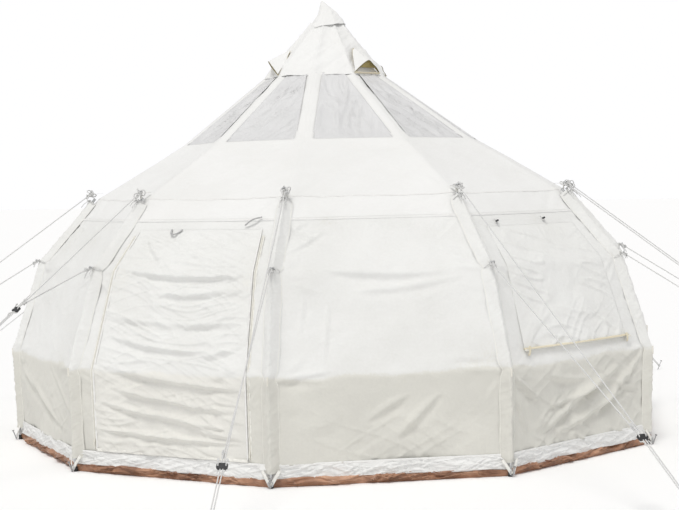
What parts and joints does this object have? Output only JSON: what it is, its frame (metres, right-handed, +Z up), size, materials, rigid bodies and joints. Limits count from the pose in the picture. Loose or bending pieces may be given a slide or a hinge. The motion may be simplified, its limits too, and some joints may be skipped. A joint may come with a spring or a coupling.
{
  "type": "bell tent",
  "caption": "Many-sided canvas bell tent on a centre pole and bent wall poles, with lifting door and window flaps, net roof windows, a tub groundsheet and guy ropes.",
  "frame": {"origin": "on the ground under the centre pole", "axes": "+Z up along the centre pole, -Y towards the door, +X to the right for someone who faces the door"},
  "size_m": [8.9889, 8.5032, 3.36],
  "materials": {
    "canvas": "natural cotton canvas, matt",
    "white_canvas": "white cotton canvas, matt",
    "net": "fine insect net",
    "groundsheet": "brown coated sheet with a soft shine",
    "steel": "galvanised steel tube",
    "foot_plastic": "moulded plastic",
    "webbing": "woven webbing",
    "rope": "braided rope",
    "runner": "black moulded plastic",
    "zip": "moulded zip",
    "hood": "canvas with a khaki lining"
  },
  "bodies": {
    "tent": {"groundsheet_floor": "groundsheet", "groundsheet_upstand": "groundsheet", "hem_band": "white_canvas", "wall_front_left": "canvas", "door_surround": "canvas", "wall_front_right": "canvas", "wall_right_front": "canvas", "wall_right_rear": "canvas", "wall_rear_right": "canvas", "wall_rear": "canvas", "wall_rear_left": "canvas", "wall_left_rear": "canvas", "wall_left_front": "canvas", "eave_band": "white_canvas", "roof_canvas": "white_canvas", "roof_net": "net", "roof_ribs": "white_canvas", "cap_skirt": "white_canvas", "cap_peak": "white_canvas", "vent_hoods": "hood", "vent_net": "net", "centre_pole_lower": "steel", "centre_pole_middle": "steel", "centre_pole_upper": "steel", "centre_pole_foot": "foot_plastic", "centre_pole_crown": "foot_plastic", "wall_pole_lower": "steel", "wall_pole_upper": "steel", "wall_pole_feet": "foot_plastic", "pole_sleeves": "canvas", "guy_tabs": "webbing", "guy_rings": "steel", "wall_toggles": "zip", "corner_webbing": "webbing", "corner_rings": "steel", "corner_pegs": "steel", "guy_pegs": "steel", "guy_ropes": "rope", "branch_ropes": "rope", "door_zip_tapes": "zip", "window_net": "net"},
    "door": {"door_flap": "canvas"},
    "zip_slider_left": {"zip_slider_left": "zip"},
    "zip_slider_right": {"zip_slider_right": "zip"},
    "window_flap_1": {"window_flap_1": "canvas", "window_bar_1": "webbing"},
    "window_flap_2": {"window_flap_2": "canvas", "window_bar_2": "webbing"},
    "window_flap_3": {"window_flap_3": "canvas", "window_bar_3": "webbing"},
    "runner_1": {"runner_1": "runner"},
    "runner_2": {"runner_2": "runner"},
    "runner_3": {"runner_3": "runner"},
    "runner_4": {"runner_4": "runner"},
    "runner_5": {"runner_5": "runner"},
    "runner_6": {"runner_6": "runner"},
    "runner_7": {"runner_7": "runner"},
    "runner_8": {"runner_8": "runner"},
    "runner_9": {"runner_9": "runner"},
    "runner_10": {"runner_10": "runner"}
  },
  "joints": [
    {"name": "door_lift", "type": "hinge", "parent": "tent", "child": "door", "pos_m": [0, -1.94499, 1.6216], "axis": [-1, 0, 0], "range_deg": [0, 95]},
    {"name": "window_lift_1", "type": "hinge", "parent": "tent", "child": "window_flap_1", "pos_m": [1.86567, -0.60619, 1.6016], "axis": [-0.309, -0.9511, 0], "range_deg": [0, 100]},
    {"name": "window_lift_2", "type": "hinge", "parent": "tent", "child": "window_flap_2", "pos_m": [0, 1.96168, 1.6016], "axis": [1, 0, 0], "range_deg": [0, 100]},
    {"name": "window_lift_3", "type": "hinge", "parent": "tent", "child": "window_flap_3", "pos_m": [-1.86567, -0.60619, 1.6016], "axis": [-0.309, 0.9511, 0], "range_deg": [0, 100]},
    {"name": "zip_slide_left", "type": "slide", "parent": "tent", "child": "zip_slider_left", "axis": [-0.007, -0.0276, 0.9996], "range_m": [0, 0.36]},
    {"name": "zip_slide_right", "type": "slide", "parent": "tent", "child": "zip_slider_right", "axis": [0.007, -0.0276, 0.9996], "range_m": [0, 0.36]},
    {"name": "runner_slide_1", "type": "slide", "parent": "tent", "child": "runner_1", "axis": [-0.657, -0.4773, -0.5836], "range_m": [-0.03, 0.25]},
    {"name": "runner_slide_2", "type": "slide", "parent": "tent", "child": "runner_2", "axis": [-0.2492, -0.7671, -0.5911], "range_m": [-0.03, 0.25]},
    {"name": "runner_slide_3", "type": "slide", "parent": "tent", "child": "runner_3", "axis": [0.2354, -0.7243, -0.648], "range_m": [-0.03, 0.25]},
    {"name": "runner_slide_4", "type": "slide", "parent": "tent", "child": "runner_4", "axis": [0.6561, -0.4767, -0.5851], "range_m": [-0.03, 0.25]},
    {"name": "runner_slide_5", "type": "slide", "parent": "tent", "child": "runner_5", "axis": [0.812, 0, -0.5836], "range_m": [-0.03, 0.25]},
    {"name": "runner_slide_6", "type": "slide", "parent": "tent", "child": "runner_6", "axis": [0.6525, 0.4741, -0.5911], "range_m": [-0.03, 0.25]},
    {"name": "runner_slide_7", "type": "slide", "parent": "tent", "child": "runner_7", "axis": [0.2492, 0.7671, -0.5911], "range_m": [-0.03, 0.25]},
    {"name": "runner_slide_8", "type": "slide", "parent": "tent", "child": "runner_8", "axis": [-0.2492, 0.7671, -0.5911], "range_m": [-0.03, 0.25]},
    {"name": "runner_slide_9", "type": "slide", "parent": "tent", "child": "runner_9", "axis": [-0.6525, 0.4741, -0.5911], "range_m": [-0.03, 0.25]},
    {"name": "runner_slide_10", "type": "slide", "parent": "tent", "child": "runner_10", "axis": [-0.8066, 0, -0.5911], "range_m": [-0.03, 0.25]}
  ]
}
